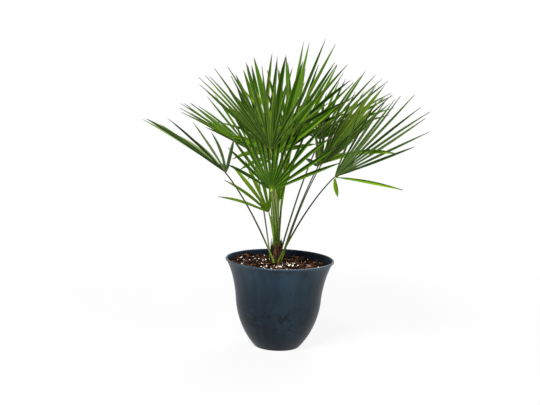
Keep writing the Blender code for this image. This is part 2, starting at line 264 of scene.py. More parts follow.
def potMaterial(name, inside):
    look = potLook
    recipe = Recipe(name)
    place = recipe.place()
    high = recipe.parts(place)[2]
    around = recipe.add("ShaderNodeVectorMath", {"operation": "NORMALIZE"},
                        {0: recipe.stretched(place, (1, 1, 0))})
    streakPlace = recipe.add("ShaderNodeVectorMath", {"operation": "ADD"},
                             {0: around, 1: recipe.stretched(place, (0, 0, 1.6))})
    broad = recipe.noise(streakPlace, look["streakScale"], 2.0, 0.5)
    fine = recipe.noise(streakPlace, look["fineScale"], 3.0, 0.6)
    smudge = recipe.noise(recipe.stretched(place, (1, 1, 0.55)), look["smudgeScale"], 3.0, 0.6)
    streak = (broad * 0.62 + fine * 0.20 + smudge * 0.30).between(0.36, 0.78)
    # the inner wall uses a far darker copy of the glaze colour, painted shade inside the pot
    colour = recipe.mixed(streak, look["dark"], look["inside"] if inside else look["colour"])
    if not inside:
        # painted sheen: a paler, patchy band round the upper wall below the rim, a painted reflection on
        # the glaze
        rimSheen = high.between(potTop * 0.60, potTop * 0.97) * broad.between(0.30, 0.62)
        colour = recipe.mixed(rimSheen * look["paintedRimSheen"], colour, look["light"])
        low = 1 - high.between(potTop * 0.42, potTop * 0.62)
        folds = recipe.noise(recipe.stretched(place, (1, 1, 1.6)), look["foldScale"], 3.0, 0.6)
        marks = (1 - (folds - 0.5).size().between(0.006, 0.055)) * smudge.between(0.42, 0.58)
        colour = recipe.mixed(marks * low * look["foldMarks"], colour, look["mark"])
        lines = recipe.noise(recipe.stretched(streakPlace, (1, 1, 0.35)), look["scratchScale"], 1.0, 0.4)
        scratch = lines.between(0.63, 0.71) * high.between(potTop * 0.30, potTop * 0.5)
        colour = recipe.mixed(scratch * look["scratches"], colour, look["mark"])
        # painted shade: the glaze gets darker towards the foot
        foot = 1 - high.between(0, potTop * 0.25)
        colour = recipe.mixed(foot * look["paintedFootShade"], colour, look["dark"])
    lip = high.between(potTop - look["lipHeight"] * 1.1, potTop - look["lipHeight"] * 0.7)
    # painted highlight: the lip's colour is mixed towards the pale highlight colour
    colour = recipe.mixed(lip * look["paintedLipHighlight"], colour, look["light"])
    return recipe.finish({
        "Base Color": colour, "Roughness": (smudge - 0.5) * 0.20 + look["roughness"] - lip * 0.10,
        "Specular IOR Level": 0.03 if inside else 0.15,
        "Coat Weight": 0.0 if inside else lip * 0.08 + 0.03, "Coat Roughness": 0.12,
        "Normal": recipe.bump(fine * 0.3 + smudge, 0.12, 0.002),
    })


def makePot():
    look = potLook
    underLip = potTop - look["lipHeight"]
    roll = look["lipHeight"] / 2
    middle = Vector((rimRadius - roll, potTop - roll))
    lip = []
    for i in range(look["lipSteps"] + 1):
        turn = math.radians(look["lipStart"] + look["lipSweep"] * i / look["lipSteps"])
        lip.append(middle + Vector((math.cos(turn), math.sin(turn))) * roll)
    highest = underLip - look["lipRoom"]
    levels = [point.y for point in reversed(potOutside()) if look["floor"] < point.y < highest]
    inside = [Vector((potInside(level), level)) for level in levels]
    inside.append(Vector((potInside(look["floor"]), look["floor"])))
    outline = [Vector((look["baseRadius"] - look["baseEdge"], 0))] + potOutside() + lip + inside
    builder = bmesh.new()
    faces = skinRings(builder, [circle(point.x, point.y, look["sides"]) for point in outline])
    # the outline runs from the base up, over the lip, and down to the floor inside
    outerCount = (len(outline) - len(inside) - look["lipInside"]) * look["sides"]
    for face in faces[outerCount:-2] + faces[-1:]:
        face.material_index = 1
    turnOutwards(builder)
    materials = [potMaterial("planterGlaze", False), potMaterial("planterInsidePaintedShade", True)]
    addPiece("planter", builder, materials, 50, ["pot"])


mixLook = {
    "drop": 0.017, "slope": 0.04, "mound": 0.001, "rough": 0.0022, "wallGap": 0.0004,
    "lumpScale": 90, "crumbScale": 240, "crumbShare": 0.6, "edgeFade": 6,
    "rings": 46, "sides": 150, "ringGap": 0.001,
    "dark": (0.0015, 0.0008, 0.0006), "brown": (0.014, 0.006, 0.003), "crumbs": 260, "patches": 45,
}
crownLow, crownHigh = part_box("crown")
crownMiddle = (crownLow + crownHigh) / 2
crownAxis = Vector((crownMiddle.x, crownMiddle.y, 0))
crownRadius = (crownHigh.x - crownLow.x) / 2
mixLevel = potTop - mixLook["drop"]
mixReach = potInside(mixLevel) - mixLook["wallGap"]


def mixHeight(x, y):
    # the top of the mix slopes down a little towards +X
    reach = min(1, math.hypot(x, y) / mixReach)
    fade = 1 - reach * reach
    wide, tight = mixLook["lumpScale"], mixLook["crumbScale"]
    lumps = noise.noise(Vector((x * wide, y * wide, 1)))
    lumps += mixLook["crumbShare"] * noise.noise(Vector((x * tight, y * tight, 5)))
    level = mixLevel - mixLook["slope"] * x
    return level + mixLook["mound"] * fade + mixLook["rough"] * lumps * min(1, fade * mixLook["edgeFade"])


def mixEdge(point):
    # how far out the sloping top meets the wall in a point's direction, found in a few tries
    share = point.x / point.length
    reach = mixReach
    for _ in range(4):
        reach = potInside(mixLevel - mixLook["slope"] * reach * share) - mixLook["wallGap"]
    return reach


def mixMaterial():
    recipe = Recipe("pottingMix")
    place = recipe.place()
    crumbs = recipe.noise(place, mixLook["crumbs"], 4, 0.7)
    patches = recipe.noise(place, mixLook["patches"], 2)
    brown = (crumbs * 0.7 + patches * 0.3).between(0.38, 0.68)
    colour = recipe.mixed(brown, mixLook["dark"], mixLook["brown"])
    return recipe.finish({
        "Base Color": colour, "Roughness": 0.9 + crumbs * 0.1, "Specular IOR Level": 0.02,
        "Normal": recipe.bump(crumbs, 0.8, 0.002),
    })


def makeMix():
    look = mixLook
    rings = []
    outline = [spot * mixEdge(spot) for spot in circle(1, 0, look["sides"])]
    for i in range(look["rings"]):
        ring = [spot * ((i + 0.4) / (look["rings"] - 0.6)) for spot in outline]
        for point in ring:
            point.z = mixHeight(point.x, point.y)
        rings.append(ring)
    lowest = min(point.z for point in rings[-1]) - look["ringGap"]
    levels = [point.y for point in reversed(potOutside()) if potLook["floor"] < point.y < lowest]
    for level in levels[::3] + [potLook["floor"] + look["wallGap"]]:
        rings.append(circle(potInside(level) - look["wallGap"], level, look["sides"]))
    builder = bmesh.new()
    skinRings(builder, rings)
    turnOutwards(builder)
    addPiece("pottingMix", builder, [mixMaterial()], 60, ["soil"])


lumpLook = {
    "detail": 2, "wallRoom": 0.006, "crownRoom": 0.004, "scales": (0.7, 1, 1, 1.25), "width": (0.45, 0.8),
    "spin": 6.3, "tilt": 0.35, "rise": (0.0, 0.5), "waves": 1.6,
}
barkLook = {
    "count": 1100, "size": (0.0030, 0.0080), "thin": (0.25, 0.5), "rough": 0.5, "square": 0.35, "seed": 11,
    "grain": 420, "stops": [(0.0, (0.0015, 0.0008, 0.0006)), (0.45, (0.0085, 0.0035, 0.0018)),
                            (0.75, (0.040, 0.018, 0.009)), (1.0, (0.170, 0.078, 0.038))],
}
grainLook = {
    "count": 600, "size": (0.0010, 0.0031), "thin": (0.6, 0.9), "rough": 0.6, "square": 0, "seed": 31,
    "clumped": 0.75, "clumps": 14, "clumpSize": 0.014, "mainClump": (0.046, -0.010, 0), "mainWeight": 5,
    "pits": 900, "stops": [(0.0, (0.46, 0.39, 0.31)), (0.5, (0.76, 0.72, 0.64)), (1.0, (0.92, 0.90, 0.85))],
}


def lumpTemplate():
    builder = bmesh.new()
    bmesh.ops.create_icosphere(builder, subdivisions=lumpLook["detail"], radius=1)
    points = [vert.co.copy() for vert in builder.verts]
    faces = [[vert.index for vert in face.verts] for face in builder.faces]
    builder.free()
    return points, faces


def spotOnMix(chance):
    reach = (mixReach - lumpLook["wallRoom"]) * math.sqrt(chance.random())
    turn = chance.uniform(0, 2 * math.pi)
    return Vector((reach * math.cos(turn), reach * math.sin(turn), 0))


def scatterLumps(name, look, material, chance, clumps=()):
    # lumps of many sizes half sunk in the mix; square pulls them towards blocks
    shape = lumpLook
    points, faces = lumpTemplate()
    builder = bmesh.new()
    tone = builder.faces.layers.float.new("tone")
    made = 0
    while made < look["count"]:
        spot = spotOnMix(chance)
        if clumps and chance.random() < look["clumped"]:
            near = chance.choice(clumps)
            spot = near + Vector((chance.gauss(0, 1), chance.gauss(0, 1), 0)) * look["clumpSize"]
        offCrown = (spot - crownAxis).length - crownRadius
        if spot.length > mixReach - shape["wallRoom"] or offCrown < shape["crownRoom"]:
            continue
        size = chance.uniform(*look["size"]) * chance.choice(shape["scales"])
        stretch = Vector((1, chance.uniform(*shape["width"]), chance.uniform(*look["thin"])))
        turn = Matrix.Rotation(chance.uniform(0, shape["spin"]), 3, "Z")
        turn = turn @ Matrix.Rotation(chance.gauss(0, shape["tilt"]), 3, "X")
        turn = turn @ Matrix.Rotation(chance.gauss(0, shape["tilt"]), 3, "Y")
        spot.z = mixHeight(spot.x, spot.y) + size * stretch.z * chance.uniform(*shape["rise"])
        seed = Vector((made * 3.1, made * 1.7, 0))
        corners = []
        for point in points:
            grown = point * (1 + look["rough"] * noise.noise(point * shape["waves"] + seed))
            if look["square"]:
                power = 1 - look["square"]
                grown = Vector([math.copysign(abs(value) ** power, value) for value in grown])
            shaped = Vector((grown.x * stretch.x, grown.y * stretch.y, grown.z * stretch.z)) * size
            corners.append(builder.verts.new(spot + turn @ shaped))
        shade = chance.random()
        for face in faces:
            builder.faces.new([corners[i] for i in face])[tone] = shade
        made += 1
    addPiece(name, builder, [material], 35)


def barkMaterial():
    recipe = Recipe("barkChip")
    place = recipe.place()
    grain = recipe.noise(recipe.stretched(place, (1, 1, 2.5)), barkLook["grain"], 3, 0.6)
    colour = recipe.colours(recipe.tag("tone") * 0.75 + grain * 0.25, barkLook["stops"])
    return recipe.finish({
        "Base Color": colour, "Roughness": 0.85 + grain * 0.15, "Specular IOR Level": 0.02,
        "Normal": recipe.bump(grain, 0.6, 0.001),
    })


def grainMaterial():
    recipe = Recipe("whiteGrain")
    pits = recipe.noise(recipe.place(), grainLook["pits"], 3, 0.6)
    colour = recipe.colours(recipe.tag("tone") * 0.6 + pits * 0.4, grainLook["stops"])
    return recipe.finish({
        "Base Color": colour, "Roughness": 0.85 + pits * 0.1, "Normal": recipe.bump(pits, 0.5, 0.0006),
    })


def makeMixTop():
    scatterLumps("barkChips", barkLook, barkMaterial(), random.Random(barkLook["seed"]))
    chance = random.Random(grainLook["seed"])
    clumps = [Vector(grainLook["mainClump"])] * grainLook["mainWeight"]
    clumps += [spotOnMix(chance) for _ in range(grainLook["clumps"])]
    scatterLumps("whiteGrains", grainLook, grainMaterial(), chance, clumps)


leafShape = {
    "hubArc": 0.004, "split": 0.16, "splitMoves": (-1, 0, 0, 1, 1, 2), "widest": 0.45, "taper": 2.5,
    "widthShare": 0.57, "tail": 0.0011, "joinedFold": 0.5, "freeFold": 0.9, "foldFrom": 0.8, "bulge": 0.05,
    "thickness": 0.0006, "tipThin": 0.5, "columns": 6, "joinedRows": 6, "freeRows": 18,
    "notch": (0.955, 0.985), "tipSpread": 0.6, "tipUneven": 0.012, "limpTone": 0.35,
    "sway": 0.16, "bend": 0.030, "curl": 0.028, "twist": 12, "uneven": 0.05,
}
# hub and length in millimetres, angles in degrees; short, cup and sag are shares of a finger's length,
# kept is what a finger fills of its room, and shade a factor on its tone, partly the leaf's own colour and
# partly painted shade on leaves that face the lamp and painted light on leaves in shadow
# a seat is the place on the crown and its direction, and a limp finger has its own azimuth,
# elevation, length, width and sag
# a fitting program worked out the values up to "seat" and the limp fingers' elevations, lengths
# and sags; the rest were chosen
leaves = [
    {"name": "front_high", "hub": (-37, -179, 574), "azimuth": 225, "elevation": 54, "roll": -4,
     "spread": 106, "skew": -5, "fingers": 15, "length": 295, "short": 0.31, "cup": 0.30, "sag": 0.13,
     "seat": ("top", 343), "kept": 0.52, "stalk": "tan"},
    {"name": "front_middle", "hub": (-30, -179, 467), "azimuth": 140, "elevation": 86, "roll": 93,
     "spread": 134, "skew": 0, "fingers": 16, "length": 284, "short": 0.22, "cup": -0.19, "sag": 0.18,
     "seat": ("top", 280), "stalk": "striped", "shade": 0.35},
    {"name": "front_low", "hub": (-35, 61, 372), "azimuth": 201, "elevation": 63, "roll": -38,
     "spread": 76, "skew": 8, "fingers": 6, "length": 190, "short": 0.35, "cup": -0.13, "sag": 0.25,
     "seat": ("top", 232), "stalk": "green", "look": "fresh"},
    {"name": "left", "hub": (-160, 8, 488), "azimuth": 183, "elevation": 36, "roll": -9,
     "spread": 129, "skew": -11, "fingers": 10, "length": 300, "short": 0.27, "cup": 0.39, "sag": 0.21,
     "seat": ("side", 250), "kept": 0.38, "stalk": "dark", "look": "pale", "shade": 2.8},
    {"name": "right_low", "hub": (135, -151, 506), "azimuth": 22, "elevation": 27, "roll": -127,
     "spread": 83, "skew": -31, "fingers": 11, "length": 318, "short": 0.26, "cup": 0.11, "sag": 0.01,
     "seat": ("side", 292), "kept": 0.50, "stalk": "dark", "look": "pale",
     "limp": ((350, -2, 192, 9, 0.10), (330, -75, 54, 13, 0.00))},
    {"name": "right_middle", "hub": (101, -114, 535), "azimuth": 31, "elevation": 39, "roll": 40,
     "spread": 148, "skew": 22, "fingers": 13, "length": 286, "short": 0.27, "cup": 0.17, "sag": 0.00,
     "seat": ("side", -11), "kept": 0.50, "limp": ((-5, 29, 238, 13, 0.64),),
     "stalk": "olive", "shade": 0.9},
    {"name": "right_back", "hub": (107, 163, 579), "azimuth": 58, "elevation": 47, "roll": 15,
     "spread": 130, "skew": 3, "fingers": 17, "length": 296, "short": 0.25, "cup": 0.02, "sag": 0.25,
     "seat": ("side", 64), "stalk": "olive"},
    {"name": "left_back", "hub": (-91, 190, 533), "azimuth": 155, "elevation": 34, "roll": 6,
     "spread": 104, "skew": -22, "fingers": 15, "length": 263, "short": 0.13, "cup": 0.39, "sag": 0.01,
     "seat": ("side", 161), "kept": 0.70, "stalk": "dark", "shade": 0.75},
    {"name": "right_inner", "hub": (101, 93, 506), "azimuth": 346, "elevation": 54, "roll": 5,
     "spread": 133, "skew": 10, "fingers": 16, "length": 294, "short": 0.05, "cup": -0.02, "sag": 0.02,
     "seat": ("side", 29), "stalk": "dark"},
    {"name": "back_right", "hub": (8, 72, 595), "azimuth": 347, "elevation": 65, "roll": -42,
     "spread": 127, "skew": -9, "fingers": 13, "length": 298, "short": 0.17, "cup": 0.03, "sag": 0.09,
     "seat": ("top", 40), "stalk": "green"},
    {"name": "back_left", "hub": (-54, 258, 522), "azimuth": 153, "elevation": 84, "roll": 10,
     "spread": 154, "skew": 5, "fingers": 15, "length": 309, "short": 0.35, "cup": 0.31, "sag": 0.07,
     "seat": ("top", 175), "kept": 0.72, "stalk": "green", "shade": 0.8},
    {"name": "back", "hub": (24, 114, 559), "azimuth": 89, "elevation": 57, "roll": 20,
     "spread": 135, "skew": 2, "fingers": 16, "length": 304, "short": 0.35, "cup": 0.37, "sag": 0.05,
     "seat": ("side", 111), "kept": 0.50, "stalk": "green"},
    {"name": "centre", "hub": (-21, -29, 547), "azimuth": 152, "elevation": 78, "roll": 100,
     "spread": 162, "skew": -23, "fingers": 12, "length": 292, "short": 0.35, "cup": -0.31, "sag": 0.20,
     "seat": ("top", 86), "stalk": "green"},
    {"name": "young", "hub": (-9, -36, 415), "azimuth": 64, "elevation": 64, "roll": -80,
     "spread": 58, "skew": -23, "fingers": 6, "length": 250, "short": 0.26, "cup": -0.26, "sag": 0.03,
     "seat": ("middle", -68), "stalk": "green"},
]


def hubOf(leaf):
    return Vector(leaf["hub"]) / 1000


def heading(azimuth, elevation):
    # the direction that two angles aim at, and the level direction to its right
    azimuth, elevation = math.radians(azimuth), math.radians(elevation)
    level = math.cos(elevation)
    aim = Vector((level * math.cos(azimuth), level * math.sin(azimuth), math.sin(elevation)))
    return aim, Vector((math.sin(azimuth), -math.cos(azimuth), 0))


def bladeAxes(leaf):
    # along the middle finger, across the blade, and out of its upper side
    middle, side = heading(leaf["azimuth"], leaf["elevation"])
    roll = math.radians(leaf["roll"])
    normal = side.cross(middle)
    across = side * math.cos(roll) + normal * math.sin(roll)
    return middle, across, normal * math.cos(roll) - side * math.sin(roll)


class Finger:
    def __init__(self, hub, along, facing, length, room, kept, sag, limp, chance):
        shape = leafShape
        self.hub = hub
        self.along = along.normalized()
        self.widthWay = self.along.cross(facing).normalized()
        self.faceWay = self.widthWay.cross(self.along)
        self.room = room
        self.widest = room * shape["widest"] * kept
        self.limp = limp
        self.length = length * (1 - abs(chance.gauss(0, shape["uneven"])))
        self.sag = sag * self.length * (1 - abs(self.along.z))
        self.bend = chance.gauss(0, shape["bend"]) * self.length
        self.curl = chance.gauss(0, shape["curl"]) * self.length
        self.twist = math.radians(chance.gauss(0, shape["twist"]))
        self.notch = chance.uniform(*shape["notch"])
        self.tone = shape["limpTone"] if limp else chance.random()

    def free(self, share):
        return max(0.0, (share - leafShape["split"]) / (1 - leafShape["split"]))

    def centre(self, share):
        loose = self.free(share) ** 2
        spot = self.hub + self.along * (self.length * share) - up * (self.sag * share * share)
        return spot + self.widthWay * (self.bend * loose) + self.faceWay * (self.curl * loose)

    def axes(self, share):
        tangent = (self.centre(share + 0.01) - self.centre(share - 0.01)).normalized()
        normal = self.widthWay.cross(tangent).normalized()
        turn = Matrix.Rotation(self.twist * self.free(share), 3, tangent)
        return turn @ tangent.cross(normal), turn @ normal

    def halfWidth(self, share):
        # half the room between neighbours up to the split, then less than that, then a long point
        shape = leafShape
        if share <= shape["split"]:
            return self.room * share
        if share <= shape["widest"]:
            start = self.room * shape["split"]
            growth = (self.widest - start) * (share - shape["split"])
            return start + growth / (shape["widest"] - shape["split"])
        narrowing = ((share - shape["widest"]) / (1 - shape["widest"])) ** shape["taper"]
        return max(shape["tail"], self.widest * (1 - narrowing))

    def point(self, share, side):
        # side runs from -1 at one edge through 0 at the keel to +1 at the other edge
        shape = leafShape
        half = self.halfWidth(share)
        way, normal = self.axes(share)
        opened = smoothStep(shape["split"] * shape["foldFrom"], shape["widest"], share)
        fold = shape["joinedFold"] + (shape["freeFold"] - shape["joinedFold"]) * opened
        spot = self.centre(share) + way * (half * side) + normal * (fold * half * (abs(side) - 0.5))
        return spot, normal


def fingersOf(leaf):
    # the fan's fingers in order across the blade, and after them its limp ones
    shape = leafShape
    hub = hubOf(leaf)
    middle, across, normal = bladeAxes(leaf)
    count = leaf["fingers"]
    kept = leaf.get("kept", shape["widthShare"])
    step = math.radians(leaf["spread"]) / (count - 1)
    swayChance = random.Random(leaf["name"])
    chance = random.Random(leaf["name"] + " fingers")
    fingers = []
    for i in range(count):
        sway = step * swayChance.uniform(-shape["sway"], shape["sway"])
        angle = math.radians(leaf["skew"]) + step * (i - (count - 1) / 2) + sway
        length = leaf["length"] / 1000 * (1 - leaf["short"] * (angle / (math.pi / 2)) ** 2)
        lift = leaf["cup"] * math.sin(angle) ** 2
        along = middle * math.cos(angle) + across * math.sin(angle) + normal * lift
        room = length * math.tan(step / 2)
        finger = Finger(hub, along, normal, length, room, kept, leaf["sag"], False, chance)
        # the shade factor holds both the leaf's own colour and painted light and shade against how the
        # lamps fall on it
        finger.tone *= leaf.get("shade", 1)
        fingers.append(finger)
    for azimuth, elevation, length, width, sag in leaf.get("limp", ()):
        along, side = heading(azimuth, elevation)
        length, kept = length / 1000, shape["widthShare"]
        room = width / 2000 / (shape["widest"] * kept)
        fingers.append(Finger(hub, along, side, length, room, kept, sag, True, chance))
    return fingers


def makeBlade(leaf, materials):
    shape = leafShape
    chance = random.Random(leaf["name"] + " splits")
    fingers = fingersOf(leaf)
    sides = [2 * i / shape["columns"] - 1 for i in range(shape["columns"] + 1)]
    joined, free = shape["joinedRows"], shape["freeRows"]
    lastJoined = [joined + chance.choice(shape["splitMoves"]) for _ in fingers]
    for i, finger in enumerate(fingers):
        if finger.limp or fingers[min(i + 1, len(fingers) - 1)].limp:
            lastJoined[i] = 1  # a limp finger hangs from the hub alone
    builder = bmesh.new()
    uv = builder.loops.layers.uv.new("pleat")
    tone = builder.faces.layers.float.new("tone")
    skins = {}

    def shareOf(finger, row):
        if row <= joined:
            start = shape["hubArc"] / finger.length
            return start + (shape["split"] - start) * row / joined
        return shape["split"] + (finger.notch - shape["split"]) * (row - joined) / free

    def keep(key, spot, normal, share):
        if key not in skins:
            half = shape["thickness"] / 2 * (1 - (1 - shape["tipThin"]) * share)
            skins[key] = (builder.verts.new(spot + normal * half), builder.verts.new(spot - normal * half))
        return key

    def edgeOf(i, row, sign):
        # the fold shared with the neighbour, or the finger's own edge past the split
        share = shareOf(fingers[i], row)
        spot, normal = fingers[i].point(share, sign)
        other = i + sign
        if 0 <= other < len(fingers) and row <= lastJoined[min(i, other)]:
            twin, twinNormal = fingers[other].point(shareOf(fingers[other], row), -sign)
            return (min(i, other), row, "fold"), (spot + twin) / 2, (normal + twinNormal).normalized()
        return (i, row, sign), spot, normal

    def rowOf(i, row):
        finger = fingers[i]
        share = shareOf(finger, row)
        keel, normal = finger.point(share, 0)
        edges = {sign: edgeOf(i, row, sign) for sign in (-1, 1)}
        keys = []
        for side in sides:
            if abs(side) > 0.999:
                keys.append(keep(*edges[int(side)], share))
                continue
            sign = 1 if side > 0 else -1
            spot = keel.lerp(edges[sign][1], abs(side))
            swell = 4 * abs(side) * (1 - abs(side)) * shape["bulge"] * finger.halfWidth(share)
            keys.append(keep((i, row, round(side, 3)), spot + normal * swell, normal, share))
        return keys, share

    patches = []
    for i, finger in enumerate(fingers):
        rows = [rowOf(i, row) for row in range(joined + free + 1)]
        for (low, lowShare), (high, highShare) in zip(rows, rows[1:]):
            for c in range(shape["columns"]):
                a, b = (sides[c] + 1) / 2, (sides[c + 1] + 1) / 2
                corners = ((a, lowShare), (b, lowShare), (b, highShare), (a, highShare))
                patches.append(((low[c], low[c + 1], high[c + 1], high[c]), corners, finger))
        lastKeys, lastShare = rows[-1]
        middleColumn = shape["columns"] // 2
        for sign in (-1, 1):
            share = 1 - shape["tipUneven"] * chance.random()
            spot, normal = finger.point(lastShare, sign * shape["tipSpread"])
            spot = spot + finger.centre(share) - finger.centre(lastShare)
            tip = keep((i, "tip", sign), spot, normal, 1)
            columns = range(0, middleColumn) if sign < 0 else range(middleColumn, shape["columns"])
            for c in columns:
                a, b = (sides[c] + 1) / 2, (sides[c + 1] + 1) / 2
                corners = ((a, lastShare), (b, lastShare), ((a + b) / 2, 1))
                patches.append(((lastKeys[c], lastKeys[c + 1], tip), corners, finger))

    def lay(verts, corners, finger, side):
        # side 0 is the upper face, 1 the under face and the rim
        face = builder.faces.new(verts)
        face[tone] = finger.tone
        face.material_index = side + 2 if finger.limp else side
        for loop, corner in zip(face.loops, corners):
            loop[uv].uv = corner

    directed = {}
    for keys, corners, finger in patches:
        lay([skins[key][0] for key in keys], corners, finger, 0)
        lay([skins[key][1] for key in reversed(keys)], corners[::-1], finger, 1)
        nextKeys, nextCorners = keys[1:] + keys[:1], corners[1:] + corners[:1]
        for start, end, cornerA, cornerB in zip(keys, nextKeys, corners, nextCorners):
            directed[(start, end)] = (cornerA, cornerB, finger)
    for (start, end), (cornerA, cornerB, finger) in directed.items():
        if (end, start) not in directed:  # an open edge, closed with a strip
            rim = [skins[end][0], skins[start][0], skins[start][1], skins[end][1]]
            lay(rim, (cornerB, cornerA, cornerA, cornerB), finger, 1)
    name = leaf["name"]
    addPiece("leaf_" + name, builder, materials, 32, ["blade_" + name])


leafLooks = {
    "leafTop": {
        "greens": [(0.008, 0.028, 0.002), (0.030, 0.083, 0.004),
                   (0.076, 0.160, 0.007), (0.180, 0.270, 0.012)],
        "rib": (0.170, 0.270, 0.020), "roughness": 0.50,
    },
    "leafUnder": {
        "greens": [(0.014, 0.036, 0.005), (0.040, 0.088, 0.011),
                   (0.086, 0.160, 0.016), (0.180, 0.260, 0.022)],
        "rib": (0.180, 0.260, 0.035), "roughness": 0.60,
    },
    "paleTop": {
        "greens": [(0.009, 0.028, 0.004), (0.034, 0.083, 0.014),
                   (0.082, 0.155, 0.032), (0.175, 0.245, 0.080)],
        "rib": (0.180, 0.260, 0.050), "roughness": 0.50,
    },
    "paleUnder": {
        "greens": [(0.015, 0.036, 0.007), (0.042, 0.088, 0.020),
                   (0.090, 0.158, 0.040), (0.180, 0.245, 0.090)],
        "rib": (0.185, 0.260, 0.060), "roughness": 0.60,
    },
    # a bright yellow-green: the limp fingers' own colour, and on front_low also painted light against the
    # shade of the fans above
    "freshTop": {
        "greens": [(0.055, 0.130, 0.003), (0.095, 0.200, 0.004),
                   (0.150, 0.270, 0.007), (0.215, 0.330, 0.012)],
        "rib": (0.250, 0.350, 0.020), "roughness": 0.50,
    },
    "freshUnder": {
        "greens": [(0.060, 0.130, 0.007), (0.100, 0.200, 0.008),
                   (0.150, 0.260, 0.010), (0.215, 0.320, 0.014)],
        "rib": (0.250, 0.340, 0.030), "roughness": 0.60,
    },
}
leafFinish = {
    "tone": 0.72, "patches": 0.55, "fibres": 0.16, "half": 0.36, "drop": 0.29,
    "patchScale": 12, "fibreStretch": (60, 3, 1), "veins": 11, "veinBump": 0.25,
    "stopsAt": (0.0, 0.40, 0.75, 1.0), "paintedValleyShade": 0.8, "ribPale": 0.65, "hubPale": 0.4,
    "dryFrom": 0.87, "drySpread": 0.06, "dryColour": (0.074, 0.074, 0.042),
}


def leafMaterial(name):
    look = leafLooks[name]
    finish = leafFinish
    recipe = Recipe(name)
    pleat = recipe.add("ShaderNodeUVMap", {"uv_map": "pleat"})
    across, along = recipe.parts(pleat)[:2]
    tone = recipe.tag("tone")
    patches = recipe.noise(recipe.place(), finish["patchScale"], 3, 0.55)
    veins = (across * (2 * math.pi * finish["veins"])).sine() * 0.5 + 0.5
    fibres = recipe.noise(recipe.stretched(pleat, finish["fibreStretch"]), 1, 2)
    # painted light and shade: one half of each finger is lighter and the other darker, as a lit V fold
    # would look
    half = (across.between(0.48, 0.52) - 0.5) * finish["half"]
    shade = tone * finish["tone"] + patches * finish["patches"] + fibres * finish["fibres"] + half
    stops = list(zip(finish["stopsAt"], look["greens"]))
    colour = recipe.colours(shade - finish["drop"], stops)
    keel = 1 - (across - 0.5).size().between(0.010, 0.045)
    edge = (across - 0.5).size().between(0.41, 0.48)
    free = along.between(0.14, 0.26)
    # painted shade: the fold edges of the joined fingers near the hub are darkened, as shaded pleat valleys
    colour = recipe.mixed((1 - free) * edge * finish["paintedValleyShade"], colour, look["greens"][0])
    colour = recipe.mixed(keel.most(edge * free) * finish["ribPale"], colour, look["rib"])
    colour = recipe.mixed((1 - along.between(0.01, 0.08)) * finish["hubPale"], colour, look["rib"])
    dry = (along - (tone * finish["drySpread"] + finish["dryFrom"])).between(0, 0.05)
    colour = recipe.mixed(dry, colour, finish["dryColour"])
    return recipe.finish({
        "Base Color": colour, "Roughness": patches * 0.12 + dry * 0.25 + look["roughness"],
        "Specular IOR Level": 0.04, "Normal": recipe.bump(veins + fibres, finish["veinBump"], 0.0004),
    })


stalkShape = {
    "bow": 0.09, "hubSize": (0.0046, 0.0032), "topSize": (0.0086, 0.0046), "topRing": 0.0074,
    "sideSize": (0.0066, 0.0046), "sideGap": 0.0003, "rows": 34, "sides": 14, "sunk": 0.006,
    "sheathLength": 0.10, "sheathGrowth": 0.40, "hollow": 0.30, "endScale": (0.45, 0.4), "intoBlade": 1.5,
    "sideWide": 0.82, "wide": {"front_middle": 1.9, "centre": 1.7},
}
stalkLooks = {
    "green": {"low": (0.100, 0.170, 0.016), "middle": (0.120, 0.260, 0.006),
              "high": (0.170, 0.330, 0.010), "fleck": (0.040, 0.070, 0.008)},
    "tan": {"low": (0.110, 0.100, 0.030), "middle": (0.340, 0.300, 0.130),
            "high": (0.280, 0.310, 0.070), "fleck": (0.110, 0.085, 0.035)},
    "striped": {"low": (0.090, 0.160, 0.014), "middle": (0.105, 0.240, 0.006),
                "high": (0.150, 0.300, 0.010), "fleck": (0.030, 0.070, 0.004),
                "stripe": (0.400, 0.360, 0.200)},
    "olive": {"low": (0.110, 0.180, 0.018), "middle": (0.075, 0.110, 0.018),
              "high": (0.050, 0.060, 0.020), "fleck": (0.014, 0.016, 0.006)},
    "dark": {"low": (0.110, 0.180, 0.018), "middle": (0.034, 0.038, 0.015),
             "high": (0.040, 0.042, 0.020), "fleck": (0.010, 0.009, 0.005)},
}
stalkFinish = {
    "blotchScale": 60, "lineStretch": (26, 2.5, 1), "flecks": 0.65, "stripeAt": 0.25, "grooveAt": 0.085,
    "stripe": 0.85, "groove": 0.8,
}


